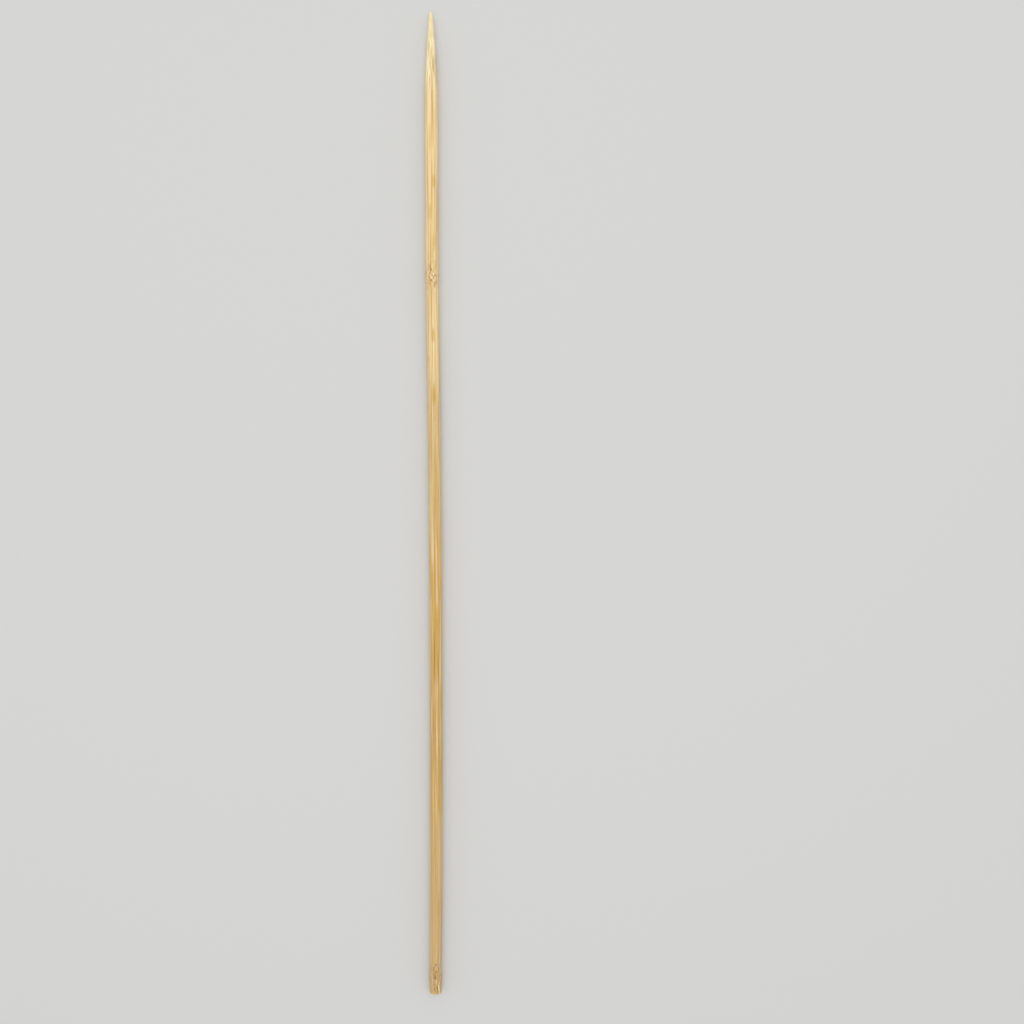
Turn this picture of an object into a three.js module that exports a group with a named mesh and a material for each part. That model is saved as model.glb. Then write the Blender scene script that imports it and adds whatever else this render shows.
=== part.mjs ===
// A round bamboo skewer: one solid rod, cut square at one end and sharpened to a long point at the other.
// It lies along +Y, with the origin at the centre of the cut face and the point towards +Y.
// All lengths are in millimetres.

import * as THREE from 'three';

// Rod
const LENGTH = 400; // from the cut face to the end of the point
const DIAMETER = 5; // of the shank
const EDGE_ROUND = 0.4; // radius of the worn edge around the cut face

// Point
const CONE_LENGTH = 27; // from the end of the point to where the cone would reach the full diameter
const SHOULDER_LENGTH = 12; // stretch over which the shank turns smoothly into the cone
const NOSE_LENGTH = 3; // the steeper last cut of the point
const NOSE_DIAMETER = 1.8; // where the cone ends and the nose begins
const TIP_RADIUS = 0.3; // the blunt end of the nose

// Natural shape of the cane
const UPPER_NODE = 297; // from the cut face to the upper bamboo node
const LOWER_NODE = 7; // from the cut face to the lower bamboo node
const NODE_RISE = 0.1; // how far a node stands proud of the shank
const NODE_REACH = 3.5; // how far a node's swelling runs to either side of it
const BOW = 0.9; // sideways bow of the stretch below the upper node

// Facets of the surface
const SIDES = 24;
const SHANK_STEP = 12;
const STEPS_PER_NODE_SIDE = 2;
const SHOULDER_STEPS = 6;
const CONE_STEPS = 4;
const EDGE_STEPS = 3;
const TIP_STEPS = 3;

const RADIUS = DIAMETER / 2;
const NODES = [LOWER_NODE, UPPER_NODE];

// Radial swelling of the shank at height y: a smooth bump over each node.
function swelling(y) {
  let rise = 0;
  for (const node of NODES) {
    const away = Math.min(Math.abs(y - node) / NODE_REACH, 1);
    rise += NODE_RISE * (1 + Math.cos(Math.PI * away)) / 2;
  }
  return rise;
}

// Sideways place of the centreline at height y: one arc below the upper node, straight above it.
function bow(y) {
  return y < UPPER_NODE ? BOW * Math.sin(Math.PI * y / UPPER_NODE) : 0;
}

// Heights of the rings between two heights of the shank: even steps, and closer ones around each node.
function shankHeights(from, to) {
  const heights = [];
  for (let y = from; y < to; y += SHANK_STEP) {
    heights.push(y);
  }
  for (const node of NODES) {
    for (let i = -STEPS_PER_NODE_SIDE; i <= STEPS_PER_NODE_SIDE; i++) {
      heights.push(node + NODE_REACH * i / STEPS_PER_NODE_SIDE);
    }
  }
  heights.sort((a, b) => a - b);
  return heights.filter((y) => y > from && y < to);
}

// Half section of the straight skewer, x being the radius and y the height above the cut face.
// It starts and ends on the axis, so that the turned body is closed.
function outline() {
  const coneStart = LENGTH - CONE_LENGTH;
  const shoulderStart = coneStart - SHOULDER_LENGTH / 2;
  const shoulderEnd = coneStart + SHOULDER_LENGTH / 2;
  const noseStart = LENGTH - NOSE_LENGTH;
  const noseRadius = NOSE_DIAMETER / 2;
  const tipCentre = LENGTH - TIP_RADIUS;

  const narrowing = (RADIUS - noseRadius) / (noseStart - coneStart);
  const shoulderEndRadius = RADIUS - narrowing * (shoulderEnd - coneStart);

  // The straight side of the nose meets the round tip along a tangent.
  const toTipCentre = Math.hypot(noseRadius, tipCentre - noseStart);
  const tangent = Math.acos(TIP_RADIUS / toTipCentre) - Math.atan2(tipCentre - noseStart, noseRadius);

  const edge = new THREE.EllipseCurve(
    RADIUS - EDGE_ROUND, EDGE_ROUND, EDGE_ROUND, EDGE_ROUND, -Math.PI / 2, 0);
  const shoulder = new THREE.QuadraticBezierCurve(
    new THREE.Vector2(RADIUS, shoulderStart),
    new THREE.Vector2(RADIUS, coneStart),
    new THREE.Vector2(shoulderEndRadius, shoulderEnd));
  const cone = new THREE.LineCurve(
    new THREE.Vector2(shoulderEndRadius, shoulderEnd),
    new THREE.Vector2(noseRadius, noseStart));
  const tip = new THREE.EllipseCurve(
    0, tipCentre, TIP_RADIUS, TIP_RADIUS, tangent, Math.PI / 2);

  return [
    new THREE.Vector2(0, 0),
    ...edge.getPoints(EDGE_STEPS),
    ...shankHeights(EDGE_ROUND, shoulderStart).map((y) => new THREE.Vector2(RADIUS, y)),
    ...shoulder.getPoints(SHOULDER_STEPS),
    ...cone.getPoints(CONE_STEPS).slice(1),
    ...tip.getPoints(TIP_STEPS),
  ];
}

// The turned rod, then swollen at its nodes and bowed sideways. The cut face stays flat.
function rod() {
  const geometry = new THREE.LatheGeometry(outline(), SIDES);
  const position = geometry.attributes.position;
  const vertex = new THREE.Vector3();
  for (let i = 0; i < position.count; i++) {
    vertex.fromBufferAttribute(position, i);
    const girth = 1 + swelling(vertex.y) / RADIUS;
    position.setXYZ(i, vertex.x * girth + bow(vertex.y), vertex.y, vertex.z * girth);
  }
  geometry.computeVertexNormals();
  return geometry;
}

const bamboo = new THREE.MeshStandardMaterial({ color: 0xdcbc88, roughness: 0.55, metalness: 0 });

const skewer = new THREE.Mesh(rod(), bamboo);
skewer.name = 'skewer';

const model = new THREE.Group();
model.add(skewer);

export default model;
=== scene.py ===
"""Bamboo skewer: a round rod turned from one strip of cane, cut square at one end and sharpened at the other.

The rod lies along +Y. The centre of its cut face is the origin and its point is towards +Y.
"""

import math
import random

import bpy
import numpy as np
from mathutils import Matrix, Vector


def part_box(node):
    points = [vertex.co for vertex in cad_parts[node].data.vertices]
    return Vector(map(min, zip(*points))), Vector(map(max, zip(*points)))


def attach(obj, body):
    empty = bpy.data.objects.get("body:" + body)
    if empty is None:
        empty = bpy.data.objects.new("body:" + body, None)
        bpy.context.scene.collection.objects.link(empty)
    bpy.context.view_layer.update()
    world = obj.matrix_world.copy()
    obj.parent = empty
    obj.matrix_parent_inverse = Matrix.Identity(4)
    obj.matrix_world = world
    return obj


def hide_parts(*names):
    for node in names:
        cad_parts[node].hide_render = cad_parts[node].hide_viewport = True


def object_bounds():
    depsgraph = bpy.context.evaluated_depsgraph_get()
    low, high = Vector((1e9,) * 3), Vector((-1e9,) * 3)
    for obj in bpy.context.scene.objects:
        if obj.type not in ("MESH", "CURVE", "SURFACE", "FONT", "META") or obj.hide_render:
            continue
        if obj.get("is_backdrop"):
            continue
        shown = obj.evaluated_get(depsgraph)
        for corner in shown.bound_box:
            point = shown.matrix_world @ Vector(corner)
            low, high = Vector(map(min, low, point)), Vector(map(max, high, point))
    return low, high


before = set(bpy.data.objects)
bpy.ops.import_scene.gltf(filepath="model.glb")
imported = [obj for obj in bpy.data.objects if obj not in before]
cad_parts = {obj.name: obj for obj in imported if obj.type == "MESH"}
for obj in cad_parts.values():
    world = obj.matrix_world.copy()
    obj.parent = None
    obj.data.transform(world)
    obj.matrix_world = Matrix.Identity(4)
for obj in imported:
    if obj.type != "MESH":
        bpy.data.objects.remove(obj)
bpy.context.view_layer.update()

bl_info = {
    "name": "Bamboo skewer",
    "version": (1, 0, 0),
    "blender": (4, 5, 0),
    "location": "3D View > Sidebar > Skewer",
    "description": "Builds a round bamboo skewer with its grain, nodes, cut end and point",
    "category": "Add Mesh",
}

CAD_NODE = "skewer"
BODY = "root"

MM = 0.001
LOW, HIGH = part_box(CAD_NODE)
NODE_RISE = 0.1 * MM
DIAMETER = (HIGH - LOW).z - 2 * NODE_RISE
BOW = HIGH.x - DIAMETER / 2

# The map that the surface is laid out on: strips of the rod, one above the other.
MAP_NAME = "OFBake"
MAP_STRIPS = 5
MAP_MARGIN = 0.6 * MM


def linear(red, green, blue):
    """Turns a colour picker's 0 to 255 values into the linear values that Blender's colours hold."""
    shares = [value / 255 for value in (red, green, blue)]
    return tuple(s / 12.92 if s <= 0.04045 else ((s + 0.055) / 1.055) ** 2.4 for s in shares)


def length(name, description, millimetres):
    """A length property, in metres, with its default in millimetres."""
    return bpy.props.FloatProperty(
        name=name, description=description, default=millimetres * MM, min=0.0, unit="LENGTH", precision=5)


def colour(name, description, red, green, blue):
    """A colour property, with its default as a colour picker shows it."""
    return bpy.props.FloatVectorProperty(
        name=name, description=description, default=linear(red, green, blue),
        min=0.0, max=1.0, size=3, subtype="COLOR")


class SkewerSize(bpy.types.PropertyGroup):
    """Sizes of the rod, in metres."""

    length: length("Length", "From the cut face to the end of the point", HIGH.y / MM)
    diameter: length("Diameter", "Across the shank", DIAMETER / MM)
    edge_round: length("Edge Round", "Radius of the worn edge round the cut face", 0.4)
    cone: length("Cone", "From the end of the point to where the cone would reach the shank's width", 27)
    shoulder: length("Shoulder", "Stretch over which the shank turns into the cone", 12)
    nose: length("Nose", "Length of the steeper last cut of the point", 3)
    nose_diameter: length("Nose Diameter", "Across the point where the nose begins", 1.8)
    tip_radius: length("Tip Radius", "Radius of the blunt end of the point", 0.3)
    upper_node: length("Upper Node", "From the cut face to the upper bamboo node", 297)
    lower_node: length("Lower Node", "From the cut face to the lower bamboo node", 7)
    node_rise: length("Node Rise", "How far a node stands proud of the shank", NODE_RISE / MM)
    node_reach: length("Node Reach", "How far a node's swelling runs to either side of it", 3.5)
    bow: length("Bow", "Sideways bow of the stretch below the upper node", BOW / MM)
    ridge: length("Fibre Ridge", "Height of the fibre ridges along the rod", 0.045)
    flat: length("Cutter Flat", "Depth of the two flats where the halves of the round cutter met", 0.04)
    seam_turn: bpy.props.FloatProperty(
        name="Seam Turn", default=math.radians(158), subtype="ANGLE",
        description="Turn round the rod, from +X towards +Z, of the first of two opposite flats")
    sides: bpy.props.IntProperty(name="Sides", description="Faces round the rod", default=120, min=12)


class BambooLook(bpy.types.PropertyGroup):
    """Colours of the cane."""

    # The point's colour is partly the paler ground cane and partly a painted highlight: it is pushed towards
    # white to stand in for glare.
    point: colour("Point", "Ground cane of the point", 255, 238, 190)
    upper: colour("Upper Cane", "Cane above the upper node", 250, 221, 162)
    middle: colour("Middle Cane", "Cane below the upper node", 231, 203, 147)
    golden: colour("Golden Cane", "Cane of the golden stretch below the middle", 213, 175, 103)
    tanned: colour("Tanned Cane", "Cane of the darker stretch below the golden one", 208, 170, 99)
    lower: colour("Lower Cane", "Cane towards the cut end", 208, 176, 118)
    cut_end: colour("Cut End", "Cane next to the cut face", 207, 178, 129)
    fibre: colour("Fibre", "Fibre bundles that run along the rod", 192, 150, 90)
    pore: colour("Pore", "Open vessels in the bundles", 118, 80, 40)
    amber: colour("Amber", "Amber stains in the cane", 202, 157, 62)
    fleck: colour("Fleck", "Dark flecks and streaks at the nodes", 134, 92, 46)
    chip: colour("Chip", "Pale torn fibre", 254, 232, 186)
    end_grain: colour("End Grain", "Cane between the bundles on the cut face", 222, 194, 142)


class StageLook(bpy.types.PropertyGroup):
    """Floor, lamps and camera."""

    floor: colour("Floor", "Pale floor", 214, 214, 212)
    lamp_watts: bpy.props.FloatProperty(
        name="Lamp", description="Power of the overhead lamp, in watts", default=3.0)
    sky: bpy.props.FloatProperty(
        name="Sky", description="Strength of the light from all round", default=0.785)
    distance: length("Camera Distance", "From the camera to the middle of the picture", 650)
    across: length("Picture Middle Across", "Place of the picture's middle along X", 31.96)
    along: length("Picture Middle Along", "Place of the picture's middle along Y", 201.95)
    tilt: bpy.props.FloatProperty(
        name="Tilt", description="How far the camera leans towards the point", default=math.radians(5.6),
        subtype="ANGLE")
    lens: bpy.props.FloatProperty(
        name="Lens", description="Focal length", default=56.293, subtype="DISTANCE_CAMERA")


def scene_settings():
    """Returns the scene's skewer sizes, cane colours and stage settings."""
    scene = bpy.context.scene
    return scene.skewer_size, scene.bamboo_look, scene.stage_look


def deselect_all():
    """Leaves object mode with nothing selected."""
    if bpy.context.object is not None and bpy.context.object.mode != "OBJECT":
        bpy.ops.object.mode_set(mode="OBJECT")
    bpy.ops.object.select_all(action="DESELECT")


def arc(start, end, steps):
    """Yields steps + 1 angles from start to end, in radians."""
    for step in range(steps + 1):
        yield start + (end - start) * step / steps


def outline(size):
    """Returns the rod's rings from the cut face to the tip, as (height, radius) pairs."""
    edge_steps, shoulder_steps, tip_steps = 5, 12, 4
    radius = size.diameter / 2
    cone_start = size.length - size.cone
    nose_start = size.length - size.nose
    nose_radius = size.nose_diameter / 2
    tip_centre = size.length - size.tip_radius
    narrowing = (radius - nose_radius) / (nose_start - cone_start)

    rings = [
        (size.edge_round * (1 + math.sin(angle)), radius + size.edge_round * (math.cos(angle) - 1))
        for angle in arc(-math.pi / 2, 0, edge_steps)
    ]
    for node in (size.lower_node, size.upper_node):
        rings.append((node - size.node_reach, radius))
        rings.append((node, radius))
        rings.append((node + size.node_reach, radius))
    for step in range(shoulder_steps + 1):
        # The shoulder is a parabola that leaves the shank and joins the cone along their own lines.
        t = step / shoulder_steps
        height = cone_start + size.shoulder * (t - 0.5)
        rings.append((height, radius - narrowing * size.shoulder / 2 * t * t))
    rings.append((nose_start, nose_radius))
    reach = math.hypot(nose_radius, tip_centre - nose_start)
    tangent = math.acos(size.tip_radius / reach) - math.atan2(tip_centre - nose_start, nose_radius)
    for angle in list(arc(tangent, math.pi / 2, tip_steps))[:-1]:
        rings.append((tip_centre + size.tip_radius * math.sin(angle), size.tip_radius * math.cos(angle)))
    return rings


def turned_rod(size):
    """Insets the cut face into rings, draws its rim out into the rod, ring by ring, and closes the tip."""
    end_rings, heart = 9, 0.1 * MM
    rings = outline(size)
    face_radius = rings[0][1]
    deselect_all()
    bpy.ops.mesh.primitive_circle_add(
        vertices=size.sides, radius=face_radius, fill_type="NGON", rotation=(math.pi / 2, 0, 0))
    rod = bpy.context.object
    rod.name = "bamboo_skewer"
    bpy.ops.object.transform_apply(location=False, rotation=True, scale=False)

    bpy.ops.object.mode_set(mode="EDIT")
    bpy.ops.mesh.select_mode(type="FACE")
    for _ in range(end_rings):
        bpy.ops.mesh.inset(thickness=(face_radius - heart) / end_rings)
    bpy.ops.mesh.poke()

    bpy.ops.mesh.select_all(action="DESELECT")
    bpy.ops.mesh.select_mode(type="EDGE")
    bpy.ops.mesh.select_non_manifold()
    for (height, radius), (next_height, next_radius) in zip(rings, rings[1:]):
        bpy.ops.mesh.extrude_region_move(
            TRANSFORM_OT_translate={"value": (0, next_height - height, 0)})
        bpy.ops.transform.resize(
            value=(next_radius / radius, 1, next_radius / radius), center_override=(0, next_height, 0))
    bpy.ops.mesh.edge_face_add()
    bpy.ops.mesh.poke()
    bpy.ops.mesh.select_all(action="SELECT")
    bpy.ops.mesh.normals_make_consistent(inside=False)
    bpy.ops.object.mode_set(mode="OBJECT")
    return rod


def vertex_places(piece):
    """Returns a piece's vertex places as the rows of an array."""
    places = np.empty(len(piece.data.vertices) * 3, np.float32)
    piece.data.vertices.foreach_get("co", places)
    return places.reshape(-1, 3).astype(float)


def set_places(rod, places):
    """Moves the rod's vertices to the rows of an array."""
    rod.data.vertices.foreach_set("co", places.astype(np.float32).ravel())
    rod.data.update()


def edge_ends(piece):
    """Returns the numbers of the two vertices of each of a piece's edges, as rows."""
    ends = np.empty(len(piece.data.edges) * 2, np.int32)
    piece.data.edges.foreach_get("vertices", ends)
    return ends.reshape(-1, 2)


def select_only(piece, vertices, edges):
    """Selects a piece's vertices and edges by arrays of yes and no, and none of its faces."""
    piece.data.vertices.foreach_set("select", vertices)
    piece.data.edges.foreach_set("select", edges)
    piece.data.polygons.foreach_set("select", np.zeros(len(piece.data.polygons), bool))


def select_where(piece, chosen):
    """Selects the vertices whose place chosen(x, y, z) holds for, and the edges between them."""
    held = chosen(*vertex_places(piece).T)
    select_only(piece, held, held[edge_ends(piece)].all(1))


def divide_lengthwise(rod, rings, step_at):
    """Cuts each stretch between two rings into faces of about the length that step_at(height) asks for."""
    near = 1e-6
    for (height, _), (next_height, _) in zip(rings, rings[1:]):
        cuts = math.ceil((next_height - height) / step_at((height + next_height) / 2)) - 1
        if cuts < 1:
            continue
        places = vertex_places(rod)
        heights = places[edge_ends(rod), 1]
        crosses = (np.abs(heights.min(1) - height) < near) & (np.abs(heights.max(1) - next_height) < near)
        select_only(rod, np.zeros(len(places), bool), crosses)
        bpy.ops.object.mode_set(mode="EDIT")
        bpy.ops.mesh.select_mode(type="EDGE")
        bpy.ops.mesh.subdivide(number_cuts=cuts)
        bpy.ops.object.mode_set(mode="OBJECT")


def swell_node(rod, size, node):
    """Scales the ring at a node outwards, with its neighbours following in a smooth falloff."""
    near = 1e-6
    girth = 1 + size.node_rise / (size.diameter / 2)
    select_where(rod, lambda x, y, z: np.abs(y - node) < near)
    bpy.ops.object.mode_set(mode="EDIT")
    bpy.ops.mesh.select_mode(type="VERT")
    bpy.ops.transform.resize(
        value=(girth, 1, girth), center_override=(0, node, 0),
        use_proportional_edit=True, proportional_edit_falloff="SMOOTH", proportional_size=size.node_reach)
    bpy.ops.object.mode_set(mode="OBJECT")


def add_group(rod, name, weights):
    """Gives the rod a vertex group, with a weight for each vertex."""
    group = rod.vertex_groups.new(name=name)
    for index in np.flatnonzero(weights > 0.001):
        group.add([int(index)], float(weights[index]), "REPLACE")


def raise_grain(rod, name, grain, height, group, depth=2):
    """Raises and sinks a group's surface by up to half of height, in lumps as long as grain on X, Y and Z."""
    lumps = bpy.data.textures.new(name, "CLOUDS")
    lumps.noise_scale = 1.0
    lumps.noise_depth = depth
    bpy.ops.object.empty_add()
    gauge = bpy.context.object
    gauge.scale = grain
    deselect_all()
    bpy.context.view_layer.objects.active = rod
    rod.select_set(True)
    modifier = rod.modifiers.new(name, "DISPLACE")
    modifier.texture = lumps
    modifier.texture_coords = "OBJECT"
    modifier.texture_coords_object = gauge
    modifier.direction = "NORMAL"
    modifier.mid_level = 0.5
    modifier.strength = height
    modifier.vertex_group = group
    bpy.context.view_layer.update()
    bpy.ops.object.modifier_apply(modifier=name)
    bpy.data.objects.remove(gauge)
    bpy.data.textures.remove(lumps)


def bump(value, centre, reach):
    """A smooth hump, 1 at centre and 0 from reach on."""
    away = np.minimum(np.abs(value - centre) / reach, 1)
    return (1 + np.cos(np.pi * away)) / 2


def flatten_cutter_lines(rod, size):
    """Planes the two narrow flats that run along the shank, where the halves of the round cutter met."""
    places = vertex_places(rod)
    x, y, z = places.T
    away = np.hypot(x, z)
    turn = np.arctan2(z, x)
    for seam in (size.seam_turn, size.seam_turn - math.pi):
        across = np.abs(np.angle(np.exp(1j * (turn - seam))))
        plane = (size.diameter / 2 - size.flat) / np.cos(np.minimum(across, 1.0))
        cut = (away > plane) & (across < 0.5) & (y > size.edge_round)
        share = np.where(cut, plane / np.maximum(away, 1e-9), 1.0)
        x, z, away = x * share, z * share, away * share
    set_places(rod, np.stack([x, y, z], 1))


def press_marks(rod, table, rise):
    """Raises a table's marks out of the surface that faces up, or sinks them, by rise at full strength."""
    places = vertex_places(rod)
    x, y, z = places.T
    away = np.hypot(x, z)
    lift = np.zeros(len(places))
    for side, height, half_width, half_length, strength in table:
        far = np.hypot((x / MM - side) / half_width, (y / MM - height) / half_length)
        lift = np.maximum(lift, np.where(z > 0, strength * bump(far, 0, 1.4), 0))
    share = 1 + lift * rise / np.maximum(away, 1e-6)
    set_places(rod, np.stack([x * share, y, z * share], 1))


def sway(size, heights):
    """Returns how far the rod's middle line is bowed towards +X at heights: one arc below the upper node."""
    return size.bow * np.sin(np.pi * np.clip(heights / size.upper_node, 0, 1))


def bow_sideways(rod, size):
    """Bows the stretch below the upper node, with the cut face left flat."""
    places = vertex_places(rod)
    places[:, 0] += sway(size, places[:, 1])
    set_places(rod, places)


def surface_radius(size, height):
    """Returns the straight rod's radius at a height."""
    heights, radii = zip(*outline(size))
    nodes = sum(bump(height, node, size.node_reach) for node in (size.lower_node, size.upper_node))
    return float(np.interp(height, heights, radii) + size.node_rise * nodes)


def add_sliver(size, height, turn, reach, width, lift, heading):
    """Adds a torn fibre: a slim flat cone with its foot in the surface and its end curled away from it.

    It starts at a height and a turn round the rod, and points up the rod at heading 1 and down it at -1.
    """
    deselect_all()
    bpy.ops.mesh.primitive_cone_add(
        vertices=8, radius1=width / 2, radius2=0, depth=reach, location=(0, reach / 2, 0),
        rotation=(-math.pi / 2, 0, 0))
    bpy.ops.object.transform_apply(location=True, rotation=True, scale=False)
    sliver = bpy.context.object
    bpy.ops.object.mode_set(mode="EDIT")
    bpy.ops.mesh.select_all(action="SELECT")
    bpy.ops.mesh.subdivide(number_cuts=3)
    bpy.ops.transform.resize(value=(1, 1, 0.4), center_override=(0, 0, 0))
    bpy.ops.object.mode_set(mode="OBJECT")
    select_where(sliver, lambda x, y, z: y > reach * 0.999)
    bpy.ops.object.mode_set(mode="EDIT")
    bpy.ops.mesh.select_mode(type="VERT")
    bpy.ops.transform.translate(
        value=(0, 0, lift), use_proportional_edit=True, proportional_edit_falloff="LINEAR",
        proportional_size=reach * 1.2)
    bpy.ops.object.mode_set(mode="OBJECT")

    sunk = 0.22 * (width + lift)
    out = Matrix.Translation((0, 0, surface_radius(size, height) - sunk))
    round_rod = Matrix.Rotation(math.pi / 2 - turn, 4, "Y")
    facing = Matrix.Identity(4) if heading > 0 else Matrix.Rotation(math.pi, 4, "Z")
    sliver.matrix_world = Matrix.Translation((sway(size, height), height, 0)) @ round_rod @ out @ facing
    bpy.ops.object.transform_apply(location=True, rotation=True, scale=True)
    return sliver


def lay_out_map(rod, size):
    """Gives the rod a map of its own: equal strips of its length, one above the other, and the cut face."""
    mesh = rod.data
    loops = np.empty(len(mesh.loops), np.int32)
    mesh.loops.foreach_get("vertex_index", loops)
    counts = np.empty(len(mesh.polygons), np.int32)
    mesh.polygons.foreach_get("loop_total", counts)
    face = np.repeat(np.arange(len(counts)), counts)

    # Each corner goes as far round the straight rod as its face's middle, plus its own turn from there.
    places = vertex_places(rod)
    places[:, 0] -= sway(size, places[:, 1])
    corner = places[loops]
    centre = np.stack([np.bincount(face, corner[:, i]) / counts for i in range(3)], 1)[face]
    turn = np.arctan2(centre[:, 2], centre[:, 0])
    away = np.angle(np.exp(1j * (np.arctan2(corner[:, 2], corner[:, 0]) - turn)))
    on_axis = np.hypot(corner[:, 0], corner[:, 2]) < 1e-7
    away[on_axis] = 0

    # The cut face takes the place in front of the first strip.
    radius = size.diameter / 2
    face_width = 2 * (radius + MAP_MARGIN)
    strip_length = (size.length + face_width) / MAP_STRIPS
    strip_height = 2 * math.pi * radius + 2 * MAP_MARGIN
    row = np.floor((centre[:, 1] + face_width) / strip_length).clip(0, MAP_STRIPS - 1)
    across = corner[:, 1] + face_width - row * strip_length
    up = row * strip_height + (turn + away + math.pi) * radius
    on_cut = centre[:, 1] < size.edge_round * 0.02
    across = np.where(on_cut, corner[:, 0] + radius, across) + 2 * MAP_MARGIN
    up = np.where(on_cut, corner[:, 2] + radius, up) + MAP_MARGIN
    places_on_map = np.stack(
        [across / (strip_length + 4 * MAP_MARGIN), up / (strip_height * MAP_STRIPS)], 1)
    layer = mesh.uv_layers.new(name=MAP_NAME)
    layer.uv.foreach_set("vector", places_on_map.astype(np.float32).ravel())


class Graph:
    """Short ways to add shader nodes to a material and to link them."""

    def __init__(self, material):
        material.use_nodes = True
        self.tree = material.node_tree
        self.tree.nodes.clear()

    def give(self, socket, value):
        """Gives an input a value, or a link where the value is a socket."""
        if isinstance(value, bpy.types.NodeSocket):
            self.tree.links.new(value, socket)
        else:
            socket.default_value = value

    def add(self, kind, inputs=None, **settings):
        """Adds a node with its settings, and gives its inputs values or links."""
        node = self.tree.nodes.new("ShaderNode" + kind)
        for name, value in settings.items():
            setattr(node, name, value)
        for name, value in (inputs or {}).items():
            self.give(node.inputs[name], value)
        return node

    def maths(self, operation, *values, clamp=False):
        """Returns the result of a Math node."""
        return self.add("Math", dict(enumerate(values)), operation=operation, use_clamp=clamp).outputs[0]

    def product(self, first, *others):
        """Returns the product of numbers and sockets."""
        for other in others:
            first = self.maths("MULTIPLY", first, other)
        return first

    def most(self, first, *others):
        """Returns the largest of numbers and sockets."""
        for other in others:
            first = self.maths("MAXIMUM", first, other)
        return first

    def summed(self, start, *parts):
        """Returns the start plus each part's value times its factor."""
        for value, factor in parts:
            start = self.maths("MULTIPLY_ADD", value, factor, start)
        return start

    def vectors(self, operation, *values):
        """Returns the vector result of a Vector Math node."""
        return self.add("VectorMath", dict(enumerate(values)), operation=operation).outputs[0]

    def scaled(self, vector, factor):
        """Returns the vector times a number or a socket."""
        return self.add("VectorMath", {0: vector, "Scale": factor}, operation="SCALE").outputs[0]

    def combined(self, x=0.0, y=0.0, z=0.0):
        """Returns a vector of three numbers or sockets."""
        return self.add("CombineXYZ", {"X": x, "Y": y, "Z": z}).outputs[0]

    def noise(self, place, density=(1.0, 1.0, 1.0), detail=2.0, roughness=0.5, output="Fac"):
        """Returns soft noise, with density lumps to each unit of the place's axes."""
        dense = self.vectors("MULTIPLY", place, density)
        inputs = {"Vector": dense, "Scale": 1.0, "Detail": detail, "Roughness": roughness}
        return self.add("TexNoise", inputs).outputs[output]

    def wander(self, place, density, reach, detail=2.0):
        """Returns a vector that wanders round zero, by up to half of reach to either side of it."""
        steps = self.noise(place, density, detail, output="Color")
        return self.vectors("MULTIPLY", self.vectors("SUBTRACT", steps, (0.5, 0.5, 0.5)), reach)

    def cells(self, section, scale, randomness):
        """Returns the outputs of round cells that are scattered over a section."""
        inputs = {"Vector": section, "Scale": scale, "Randomness": randomness}
        return self.add("TexVoronoi", inputs, voronoi_dimensions="2D").outputs

    def ranged(self, value, start, end, low=0.0, high=1.0):
        """Returns low where value is start and high where it is end, smoothly between and level beyond."""
        inputs = {"Value": value, "From Min": start, "From Max": end, "To Min": low, "To Max": high}
        return self.add("MapRange", inputs, interpolation_type="SMOOTHSTEP").outputs[0]

    def hump(self, value, centre, reach):
        """Returns a bell of height 1 round centre, in the value's own units."""
        away = self.maths("DIVIDE", self.maths("SUBTRACT", value, centre), reach)
        return self.maths("EXPONENT", self.product(away, away, -1.0))

    def from_spot(self, place, centre, half):
        """Returns how far a place is from a spot's centre, 1 being its edge."""
        shares = self.vectors("DIVIDE", self.vectors("SUBTRACT", place, centre), half)
        return self.add("VectorMath", {0: shares}, operation="LENGTH").outputs["Value"]

    def mixed(self, share, first, second):
        """Returns the first colour at share 0 and the second at share 1."""
        node = self.add("Mix", data_type="RGBA")
        for name, value in {"Factor": share, "A": opaque(first), "B": opaque(second)}.items():
            self.give(next(socket for socket in node.inputs if socket.name == name and socket.enabled), value)
        return next(socket for socket in node.outputs if socket.enabled)

    def finish(self, base, roughness, specular, relief, height):
        """Adds the shader, with bumps of a relief whose unit stands height tall, and the output."""
        bumps = self.add("Bump", {"Height": relief, "Strength": 0.5, "Distance": height}).outputs[0]
        inputs = {"Base Color": base, "Roughness": roughness, "Specular IOR Level": specular, "Normal": bumps}
        shader = self.add("BsdfPrincipled", inputs)
        self.add("OutputMaterial", {"Surface": shader.outputs[0]})


def opaque(value):
    """Returns a colour property with an alpha of 1, and leaves a socket as it is."""
    return value if isinstance(value, bpy.types.NodeSocket) else (*value, 1.0)


# Marks on the side that faces up. Each has its place across and along the rod, its half width and half
# length, all in millimetres from the middle of the cut face, and its strength.
STAINS = (
    (-0.4, 351.0, 1, 6, 0.35),
    (0.95, 334.1, 0.8, 3, 0.6),
    (-0.50, 322.1, 0.8, 3.2, 0.4),
    (0.97, 310.5, 0.9, 4, 0.4),
    (1.09, 300.0, 0.5, 1.4, 0.35),
    (0.20, 273.1, 0.8, 3.4, 0.8),
    (0.19, 249.1, 0.9, 5, 0.85),
    (0.58, 241.7, 0.5, 5, 0.35),
    (-0.12, 173.9, 1, 10, 0.5),
    (-0.3, 119.0, 1, 9, 0.35),
    (0.33, 158.8, 0.95, 6.5, 1),
    (-0.09, 144.6, 0.8, 9, 0.5),
    (1.94, 95.3, 0.5, 6, 0.6),
    (1.04, 81.0, 0.5, 3, 0.5),
    (2.21, 77.6, 0.4, 2.5, 0.7),
)
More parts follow.
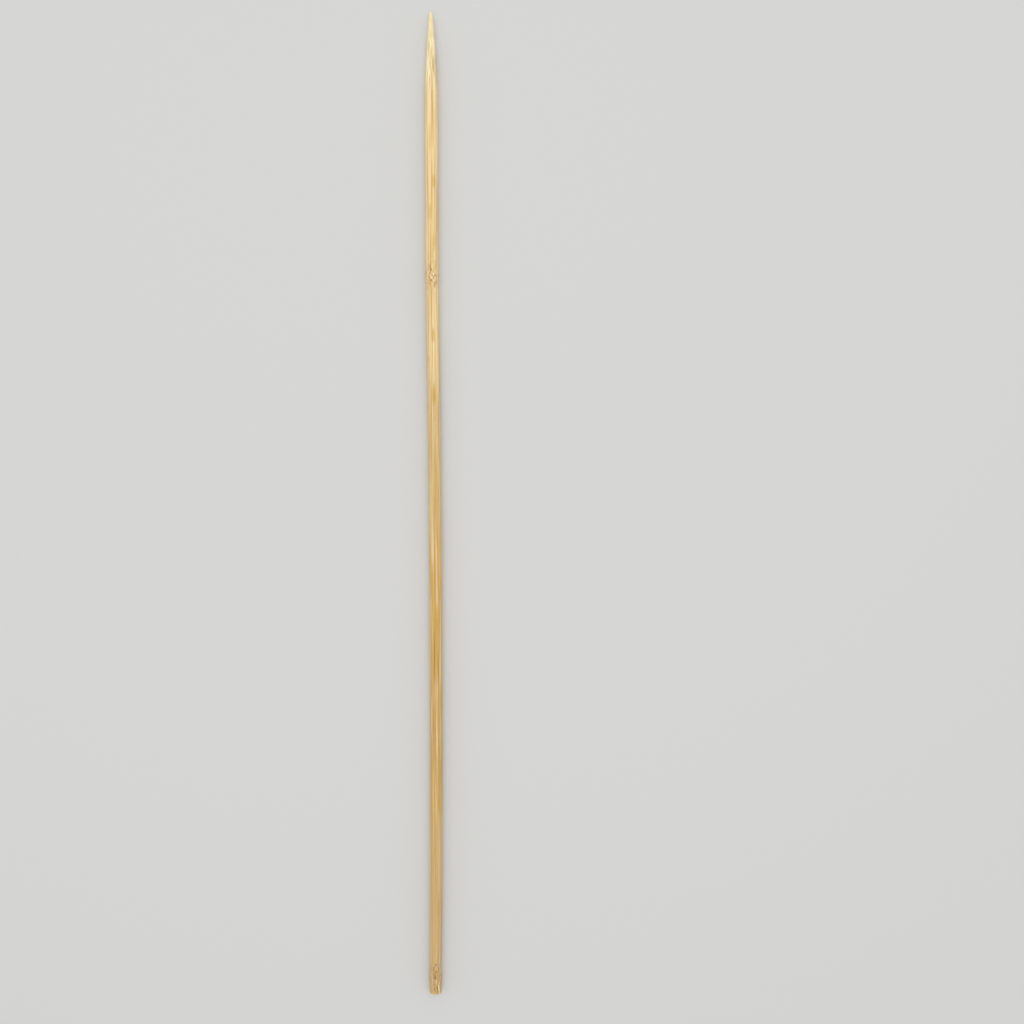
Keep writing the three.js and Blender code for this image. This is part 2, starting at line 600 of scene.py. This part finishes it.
FLECKS = (
    (-0.62, 300.3, 0.2, 0.77, 0.9),
    (-0.36, 299.3, 0.25, 0.88, 0.84),
    (-0.84, 298, 0.18, 0.66, 0.6),
    (0.11, 296.9, 0.25, 0.5, 0.9),
    (1.08, 297, 0.22, 0.66, 0.72),
    (0.64, 296, 0.28, 0.46, 0.84),
    (-0.88, 296.1, 0.18, 0.55, 0.6),
    (-0.18, 295.1, 0.43, 0.26, 1),
    (1.13, 293.9, 0.38, 0.66, 0.66),
    (0.94, 292.8, 0.33, 0.77, 0.6),
    (-1.16, 113.6, 0.2, 1.2, 0.6),
    (0.04, 13.1, 0.69, 0.33, 0.48),
    (-0.88, 11.1, 0.21, 1.43, 0.66),
    (1.36, 10.6, 0.21, 1.65, 0.66),
    (-0.16, 9.6, 0.5, 0.33, 0.6),
    (-0.1, 7.4, 0.35, 1.43, 1),
    (-0.25, 4.6, 0.25, 1.1, 0.66),
    (0.77, 2.7, 0.21, 2.09, 0.96),
    (-0.25, 2.4, 0.25, 1.1, 0.78),
)
CHIPS = (
    (0.64, 297.5, 0.35, 0.55, 1),
    (-0.43, 296.9, 0.3, 0.44, 1),
    (-0.14, 296.1, 0.38, 0.44, 1),
    (1.17, 295.8, 0.28, 0.44, 0.84),
    (0.69, 295, 0.31, 0.39, 0.84),
    (0.2, 270.2, 0.25, 1, 0.4),
    (0.36, 5.9, 0.2, 1.76, 0.6),
    (1.47, 3.1, 0.25, 1.98, 0.36),
    (-1.19, 6.1, 0.2, 1.76, 0.3),
)
STREAKS = (
    (0.16, 176.0, 0.14, 12, 0.3),
    (-0.62, 141.0, 0.24, 17, 0.7),
    (0.86, 138.0, 0.2, 8, 0.6),
    (-1.12, 110.0, 0.22, 15, 0.55),
    (1.17, 87.0, 0.18, 22, 0.4),
)


class Cane(Graph):
    """The cane's graph, with the places, fibre bundles and fibres that all its colours read.

    The cane is a solid: the bundles run through it, so its sides show lines and its cut face shows dots.
    Places and sizes are in millimetres.
    """

    def __init__(self, material, size, look):
        super().__init__(material)
        self.size = size
        self.look = look
        self.radius = size.diameter / 2 / MM
        self.find_places()
        self.find_grain()
        self.find_bundles()

        # Fibres at four widths, and the swirling ones of the nodes.
        self.hair = self.noise(self.grain, (13.0, 0.14, 13.0), detail=1.0)
        self.fine = self.noise(self.grain, (6.0, 0.07, 6.0), roughness=0.6)
        self.line = self.noise(self.grain, (2.3, 0.02, 2.3), detail=1.0)
        self.band = self.noise(self.grain, (0.8, 0.011, 0.8), detail=1.5)
        self.swirled = self.noise(self.grain, (4.2, 0.3, 4.2), roughness=0.6)

    def find_places(self):
        """Takes the rod's bow out of the places, so that the grain follows it."""
        raw = self.add("TexCoord").outputs["Object"]
        place = self.add("Mapping", {"Vector": raw, "Scale": (1 / MM, 1 / MM, 1 / MM)}).outputs[0]
        axes = self.add("SeparateXYZ", {0: place}).outputs
        self.along = axes["Y"]
        self.up = axes["Z"]
        share = self.maths("DIVIDE", self.along, self.size.upper_node / MM, clamp=True)
        sway = self.product(self.maths("SINE", self.product(share, math.pi)), self.size.bow / MM)
        self.across = self.maths("SUBTRACT", axes["X"], sway)
        self.straight = self.combined(self.across, self.along, self.up)

    def find_grain(self):
        """Lets the grain drift slowly along the rod, and swirl at the nodes."""
        swirl_reach, drift_width, swirl_width = 4.2, 1.6, 3.2
        upper = self.hump(self.along, self.size.upper_node / MM, swirl_reach)
        lower = self.hump(self.along, self.size.lower_node / MM, swirl_reach)
        self.at_node = self.most(upper, lower)
        slow = self.combined(3.1, self.product(self.along, 0.011), 5.7)
        drift = self.wander(slow, (1.0, 1.0, 1.0), (drift_width, drift_width, drift_width))
        self.swirl = self.wander(self.straight, (0.6, 0.33, 0.6), self.product(self.at_node, swirl_width))
        self.grain = self.vectors("ADD", self.vectors("ADD", self.straight, drift), self.swirl)

    def find_bundles(self):
        """Scatters the fibre bundles over the section, closer together on the bark side."""
        axes = self.add("SeparateXYZ", {0: self.grain}).outputs
        section = self.combined(axes["X"], axes["Z"])
        crowd = self.product(axes["X"], axes["X"], 0.07)
        self.packed = self.vectors("ADD", section, self.combined(crowd))
        cells = self.cells(self.packed, 1.35, 0.85)
        draws = self.add("SeparateColor", {0: cells["Color"]}).outputs
        width = self.summed(0.17, (draws["Red"], 0.16))
        core = self.maths("DIVIDE", cells["Distance"], width)

        # A bundle comes and goes along the rod, and so does the open vessel in its middle.
        fade = self.combined(self.product(draws["Green"], 37.0), self.product(self.along, 0.018))
        present = self.ranged(self.noise(fade), 0.36, 0.58, 0.25, 1.0)
        self.bundle = self.product(self.ranged(core, 1.2, 0.7), present)
        dash = self.combined(self.product(draws["Blue"], 53.0), self.product(self.along, 0.22))
        self.pore = self.product(self.ranged(core, 0.42, 0.2), self.ranged(self.noise(dash), 0.5, 0.6))

    def marked(self, place, table, streak):
        """Returns how strongly a place is marked by a table's marks, which a streak's noise breaks up."""
        half_depth = 1.5
        total = 0.0
        for side, height, half_width, half_length, strength in table:
            depth = math.sqrt(max(self.radius ** 2 - side ** 2, 0))
            away = self.from_spot(place, (side, height, depth), (half_width, half_length, half_depth))
            total = self.most(total, self.ranged(away, 1.35, 0.35, 0.0, strength))
        return self.product(total, streak)

    def tone(self):
        """Returns the cane's tone, which changes along the rod; the point's pale stop is partly ground cane
        and partly a painted highlight of glare.
        """
        look = self.look
        stops = (
            (0.0, look.cut_end), (0.05, look.cut_end), (0.09, look.lower), (0.165, look.lower),
            (0.2, look.tanned), (0.3, look.tanned), (0.34, look.golden), (0.46, look.golden),
            (0.54, look.middle), (0.6, look.middle), (self.size.upper_node / self.size.length, look.upper),
            # The last stop, the point, is partly a painted highlight of glare.
            (0.905, look.upper), (0.945, look.point),
        )
        tone = self.add("ValToRGB", {"Fac": self.maths("DIVIDE", self.along, self.size.length / MM)})
        ramp = tone.color_ramp
        while len(ramp.elements) < len(stops):
            ramp.elements.new(1.0)
        for element, (position, value) in zip(ramp.elements, stops):
            element.position = position
            element.color = opaque(value)
        light = self.product(
            self.ranged(self.fine, 0.25, 0.75, 0.9, 1.06), self.ranged(self.hair, 0.2, 0.8, 0.95, 1.04))
        return self.scaled(tone.outputs["Color"], light)

    def with_lines(self, base):
        """Draws the fibres in, fainter on the point and on the quiet stretch above the lower node."""
        look = self.look
        strength = self.most(
            self.ranged(self.along, 84.0, 106.0, 0.5, 1.0), self.ranged(self.along, 24.0, 14.0))
        clear = self.product(self.ranged(self.along, 375.0, 390.0, 1.0, 0.45), strength)
        bands = self.ranged(self.band, 0.42, 0.66, 0.0, 0.45)
        dark_lines = self.ranged(self.line, 0.5, 0.62, 0.0, 0.6)
        pale_lines = self.ranged(self.line, 0.44, 0.33, 0.0, 0.55)
        base = self.mixed(self.product(bands, clear), base, look.fibre)
        base = self.mixed(self.product(dark_lines, clear), base, look.fibre)
        base = self.mixed(self.product(pale_lines, strength), base, look.chip)
        base = self.mixed(self.product(self.bundle, clear, 0.42), base, look.fibre)
        return self.mixed(self.product(self.pore, 0.5), base, look.pore)

    def with_painted_seam_highlights(self, base):
        """Paints pale highlights along the two cutter seams, as lines that come and go."""
        seam = 0.0
        for turn in (self.size.seam_turn, self.size.seam_turn - math.pi):
            middle = (self.radius * math.cos(turn), 0.0, self.radius * math.sin(turn))
            away = self.from_spot(self.combined(self.across, 0.0, self.up), middle, (1.0, 1.0, 1.0))
            seam = self.most(seam, self.ranged(away, 0.3, 0.08))
        come_and_go = self.noise(self.combined(self.product(self.along, 0.02), self.up))
        seam = self.product(seam, self.ranged(come_and_go, 0.35, 0.6, 0.1, 0.7))
        # The seam lines are a painted highlight, in the pale chip colour.
        return self.mixed(seam, base, self.look.chip)

    def with_stains(self, base):
        """Stains the cane amber: where it shows from above, and in a few places all round."""
        streaks = self.ranged(self.maths("ADD", self.fine, self.line), 0.75, 1.15, 0.5, 1.0)
        patches = self.vectors("MULTIPLY", self.grain, (0.55, 0.03, 0.55))
        patches = self.vectors("ADD", patches, (9.3, 2.1, 4.4))
        round_about = self.product(self.ranged(self.noise(patches), 0.6, 0.74, 0.0, 0.5), streaks)
        ragged = self.wander(self.straight, (2.0, 0.7, 2.0), (0.7, 1.4, 0.7))
        ragged = self.vectors("ADD", self.straight, ragged)
        stain = self.most(round_about, self.marked(ragged, STAINS, streaks))
        return self.mixed(stain, base, self.look.amber)

    def arches(self):
        """Returns the pointed arches of dark grain above the lower node, on the side that faces up."""
        middle, steepness, waves, top = 0.25, 3.0, 2.1, 15.6
        side = self.maths("SUBTRACT", self.across, middle)
        height = self.summed(self.along, (self.product(side, side), steepness))
        height = self.summed(height, (self.noise(self.straight, (2.2, 0.6, 2.2)), 1.8))
        lines = self.ranged(self.maths("SINE", self.summed(-2.7, (height, waves))), 0.35, 0.95)
        lines = self.product(lines, self.ranged(height, top, top - 0.9), self.ranged(self.along, 3.0, 8.0))
        return self.product(lines, self.ranged(self.up, 0.6, 1.6))

    def with_nodes(self, base):
        """Darkens the nodes' swirling fibres, and adds dark flecks, torn pale chips and the long streaks."""
        look = self.look
        narrow = self.maths("POWER", self.at_node, 1.5)
        frayed = self.ranged(self.swirled, 0.38, 0.54, 0.65, 1.0)
        broad = self.maths("POWER", self.at_node, 0.7)
        self.vein = self.product(self.ranged(self.swirled, 0.53, 0.64), broad)

        # Round the back the flecks and chips come from noise, and each chip has a dark rim.
        chip_place = self.vectors("MULTIPLY", self.vectors("ADD", self.straight, self.swirl), (3.0, 1.0, 3.0))
        chips = self.noise(self.vectors("ADD", chip_place, (21.0, 8.0, 3.0)))
        rims = self.product(self.ranged(chips, 0.56, 0.61), self.ranged(chips, 0.66, 0.63), 0.6)
        flecks = self.ranged(self.noise(chip_place, detail=3.0, roughness=0.6), 0.6, 0.68)
        off_top = self.product(narrow, self.ranged(self.up, 1.8, 0.8, 0.25, 1.0))
        self.fleck = self.product(self.most(flecks, rims), off_top, frayed)
        chip = self.product(self.ranged(chips, 0.64, 0.7), off_top, frayed)

        # On the side that faces up they come from the tables.
        torn = self.wander(self.grain, (5.5, 1.1, 5.5), (0.5, 1.1, 0.5), detail=1.0)
        torn = self.vectors("ADD", self.straight, torn)
        threads = self.ranged(self.hair, 0.36, 0.6, 0.6, 1.0)
        dark = self.most(
            self.product(self.fleck, 0.8), self.product(self.vein, 0.3),
            self.product(self.arches(), frayed, 0.62),
            self.marked(torn, FLECKS, frayed), self.marked(self.straight, STREAKS, threads))
        pale = self.most(chip, self.marked(torn, CHIPS, 1.0))
        base = self.mixed(self.product(narrow, 0.14), base, look.fibre)
        return self.mixed(pale, self.mixed(dark, base, look.fleck), look.chip)

    def with_cut_end(self, base):
        """Pales the worn rim, and shows the bundles as dots on the cut face, each with its open vessels."""
        look = self.look
        self.rim = self.ranged(self.along, 0.9, 0.2)
        base = self.mixed(self.product(self.rim, 0.5), base, look.end_grain)

        dots = self.cells(self.packed, 2.1, 0.8)
        girth = self.add("SeparateColor", {0: dots["Color"]}).outputs["Green"]
        from_dot = self.maths("DIVIDE", dots["Distance"], self.summed(0.65, (girth, 0.5)))
        uneven = self.noise(self.straight, (7.0, 1.0, 7.0))
        from_dot = self.summed(self.maths("SUBTRACT", from_dot, 0.17), (uneven, 0.34))
        saw = self.noise(self.straight, (1.2, 1.0, 26.0))
        face = self.mixed(self.ranged(saw, 0.35, 0.7, 0.0, 0.4), look.end_grain, look.fibre)
        face = self.mixed(self.product(self.ranged(from_dot, 0.42, 0.14), 0.5), face, look.fleck)
        face = self.mixed(self.product(self.ranged(from_dot, 0.12, 0.02), 0.5), face, look.pore)

        on_face = self.ranged(self.along, 0.09, 0.04)
        self.dimples = self.product(on_face, dots["Distance"])
        return self.mixed(on_face, base, face)


def cane_material(size, look):
    """Cane: lined with fibres, with painted highlights along its seams, with its stains and nodes, and its
    bundles bare on the cut face.
    """
    material = bpy.data.materials.new("cane")
    cane = Cane(material, size, look)
    base = cane.with_lines(cane.tone())
    # Painted highlights: pale lines along the two cutter seams.
    base = cane.with_painted_seam_highlights(base)
    base = cane.with_stains(base)
    base = cane.with_nodes(base)
    base = cane.with_cut_end(base)
    roughness = cane.summed(
        0.46, (cane.fine, 0.12), (cane.bundle, -0.08), (cane.at_node, 0.12), (cane.rim, 0.2))
    relief = cane.summed(
        cane.fine, (cane.bundle, 0.5), (cane.hair, 0.6), (cane.pore, -0.8), (cane.fleck, -0.9),
        (cane.vein, -0.4), (cane.dimples, 1.5))
    cane.finish(base, roughness, 0.35, relief, 0.03 * MM)
    return material


def torn_material(look):
    """Torn fibre: pale, with fine lines along it."""
    material = bpy.data.materials.new("torn_fibre")
    graph = Graph(material)
    raw = graph.add("TexCoord").outputs["Object"]
    place = graph.add("Mapping", {"Vector": raw, "Scale": (1 / MM, 1 / MM, 1 / MM)}).outputs[0]
    streak = graph.noise(place, (14.0, 0.6, 14.0))
    base = graph.mixed(graph.ranged(streak, 0.3, 0.75, 0.0, 0.6), look.chip, look.fibre)
    graph.finish(base, graph.summed(0.6, (streak, 0.2)), 0.3, streak, 0.02 * MM)
    return material


def floor_material(look):
    """A plain pale floor."""
    material = bpy.data.materials.new("pale_floor")
    graph = Graph(material)
    inputs = {"Base Color": opaque(look.floor), "Roughness": 0.9, "Specular IOR Level": 0.1}
    shader = graph.add("BsdfPrincipled", inputs)
    graph.add("OutputMaterial", {"Surface": shader.outputs[0]})
    return material


class SKEWER_OT_add_rod(bpy.types.Operator):
    """Turn the rod, raise its grain and dress it in cane"""

    bl_idname = "skewer.add_rod"
    bl_label = "Add Skewer"

    def execute(self, context):
        size, look, _ = scene_settings()
        rod = turned_rod(size)
        nodes = (size.lower_node, size.upper_node)

        def step_at(height):
            """Returns how long the rod's faces are at a height."""
            if height > size.length - size.nose:
                return 0.15 * MM
            if height > size.length - size.cone - size.shoulder:
                return 0.32 * MM
            if any(abs(height - node) < size.node_reach * 1.01 for node in nodes):
                return 0.16 * MM
            return 1.1 * MM

        divide_lengthwise(rod, outline(size), step_at)
        for node in nodes:
            swell_node(rod, size, node)
        flatten_cutter_lines(rod, size)

        places = vertex_places(rod)
        heights = places[:, 1]
        at_nodes = np.maximum(*(bump(heights, node, size.node_reach * 1.3) for node in nodes))
        add_group(rod, "at_nodes", at_nodes)
        on_face = (heights < size.edge_round * 0.5).astype(float)
        add_group(rod, "cut_face", on_face)
        add_group(rod, "sides", 1 - on_face)
        raise_grain(rod, "fibre_ridges", (0.38 * MM, 45 * MM, 0.38 * MM), size.ridge, "sides")
        raise_grain(rod, "uneven_cane", (3.0 * MM, 28 * MM, 3.0 * MM), 0.07 * MM, "sides")
        raise_grain(rod, "node_lumps", (0.6 * MM, 1.1 * MM, 0.6 * MM), 0.16 * MM, "at_nodes", depth=3)
        raise_grain(rod, "end_grain", (0.3 * MM, 9 * MM, 0.3 * MM), 0.06 * MM, "cut_face")
        rod.vertex_groups.clear()
        press_marks(rod, FLECKS, -0.05 * MM)
        press_marks(rod, CHIPS, 0.05 * MM)
        bow_sideways(rod, size)
        lay_out_map(rod, size)
        bpy.ops.object.shade_smooth()
        rod.data.materials.append(cane_material(size, look))
        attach(rod, BODY)
        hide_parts(CAD_NODE)
        return {"FINISHED"}


class SKEWER_OT_add_torn_fibres(bpy.types.Operator):
    """Raise small torn fibres at the nodes, the cut edge, the point and here and there along the shank"""

    bl_idname = "skewer.add_torn_fibres"
    bl_label = "Add Torn Fibres"

    def execute(self, context):
        size, look, _ = scene_settings()
        draw = random.Random(11)

        # Height, turn, length, width and lift in millimetres and degrees, and heading.
        slivers = [
            (98.0, 8, 2.0, 0.34, 0.34, 1),
            (98.6, -6, 1.3, 0.22, 0.22, 1),
            (190.2, 170, 1.7, 0.32, 0.32, -1),
        ]
        for node in (size.lower_node / MM, size.upper_node / MM):
            for _ in range(12):
                slivers.append((
                    node + draw.uniform(-3.2, 3.2), draw.uniform(0, 360), draw.uniform(0.5, 1.3),
                    draw.uniform(0.08, 0.18), draw.uniform(0.04, 0.12), draw.choice((1, -1))))
        for _ in range(12):
            slivers.append((
                size.edge_round / MM * draw.uniform(1.5, 2.2), draw.uniform(0, 360), draw.uniform(0.5, 0.9),
                draw.uniform(0.06, 0.1), draw.uniform(0.0, 0.04), -1))
        for _ in range(8):
            slivers.append((
                size.length / MM - draw.uniform(5, 26), draw.uniform(0, 360), draw.uniform(0.9, 2.0),
                draw.uniform(0.06, 0.11), draw.uniform(0.05, 0.12), 1))
        for _ in range(22):
            slivers.append((
                draw.uniform(16, 365), draw.uniform(0, 360), draw.uniform(0.9, 2.6),
                draw.uniform(0.05, 0.12), draw.uniform(0.04, 0.1), draw.choice((1, -1))))

        pieces = [
            add_sliver(size, height * MM, math.radians(turn), reach * MM, width * MM, lift * MM, heading)
            for height, turn, reach, width, lift, heading in slivers
        ]
        deselect_all()
        for piece in pieces:
            piece.select_set(True)
        context.view_layer.objects.active = pieces[0]
        bpy.ops.object.join()
        fibres = context.object
        fibres.name = "torn_fibres"
        bpy.ops.object.mode_set(mode="EDIT")
        bpy.ops.mesh.select_all(action="SELECT")
        bpy.ops.mesh.normals_make_consistent(inside=False)
        bpy.ops.object.mode_set(mode="OBJECT")
        bpy.ops.object.shade_smooth_by_angle(angle=math.radians(50))
        fibres.data.materials.append(torn_material(look))
        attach(fibres, BODY)
        return {"FINISHED"}


class SKEWER_OT_add_stage(bpy.types.Operator):
    """Lay the floor under the rod, hang the lamp and set the camera"""

    bl_idname = "skewer.add_stage"
    bl_label = "Add Stage"

    def execute(self, context):
        _, _, look = scene_settings()
        low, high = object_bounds()
        middle = (low + high) / 2

        deselect_all()
        bpy.ops.mesh.primitive_plane_add(size=8, location=(middle.x, middle.y, low.z))
        floor = bpy.context.object
        floor.name = "floor"
        floor.data.materials.append(floor_material(look))
        floor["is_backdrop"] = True

        bpy.ops.object.light_add(type="AREA", location=(middle.x - 0.02, middle.y + 0.15, 1.0))
        lamp = bpy.context.object
        lamp.name = "overhead_lamp"
        lamp.data.shape = "DISK"
        lamp.data.size = 1.2
        lamp.data.energy = look.lamp_watts

        world = bpy.data.worlds.new("soft_sky")
        world.use_nodes = True
        background = world.node_tree.nodes["Background"]
        background.inputs["Color"].default_value = (1, 1, 1, 1)
        background.inputs["Strength"].default_value = look.sky
        context.scene.world = world

        aim = Vector((look.across, look.along, 0))
        back = Vector((0, math.sin(look.tilt), math.cos(look.tilt)))
        bpy.ops.object.camera_add(location=aim + back * look.distance, rotation=(-look.tilt, 0, 0))
        camera = bpy.context.object
        camera.name = "camera"
        camera.data.lens = look.lens
        context.scene.camera = camera
        context.scene.view_settings.view_transform = "Standard"
        return {"FINISHED"}


class SKEWER_PT_sidebar(bpy.types.Panel):
    """Skewer tools in the 3D view's sidebar."""

    bl_label = "Skewer"
    bl_idname = "SKEWER_PT_sidebar"
    bl_space_type = "VIEW_3D"
    bl_region_type = "UI"
    bl_category = "Skewer"

    def draw(self, context):
        layout = self.layout
        scene = context.scene
        for group in (scene.skewer_size, scene.bamboo_look, scene.stage_look):
            box = layout.box()
            for name in group.bl_rna.properties.keys():
                if name not in ("rna_type", "name"):
                    box.prop(group, name)
        for operator in OPERATORS:
            layout.operator(operator.bl_idname)


OPERATORS = (SKEWER_OT_add_rod, SKEWER_OT_add_torn_fibres, SKEWER_OT_add_stage)
CLASSES = (SkewerSize, BambooLook, StageLook, *OPERATORS, SKEWER_PT_sidebar)


def register():
    """Adds the skewer's settings and tools to Blender."""
    for cls in CLASSES:
        bpy.utils.register_class(cls)
    bpy.types.Scene.skewer_size = bpy.props.PointerProperty(type=SkewerSize)
    bpy.types.Scene.bamboo_look = bpy.props.PointerProperty(type=BambooLook)
    bpy.types.Scene.stage_look = bpy.props.PointerProperty(type=StageLook)


def unregister():
    """Takes the skewer's settings and tools out of Blender."""
    del bpy.types.Scene.stage_look
    del bpy.types.Scene.bamboo_look
    del bpy.types.Scene.skewer_size
    for cls in reversed(CLASSES):
        bpy.utils.unregister_class(cls)


def main():
    """Builds the skewer and its stage."""
    register()
    bpy.ops.skewer.add_rod()
    bpy.ops.skewer.add_torn_fibres()
    bpy.ops.skewer.add_stage()


if __name__ == "__main__":
    main()
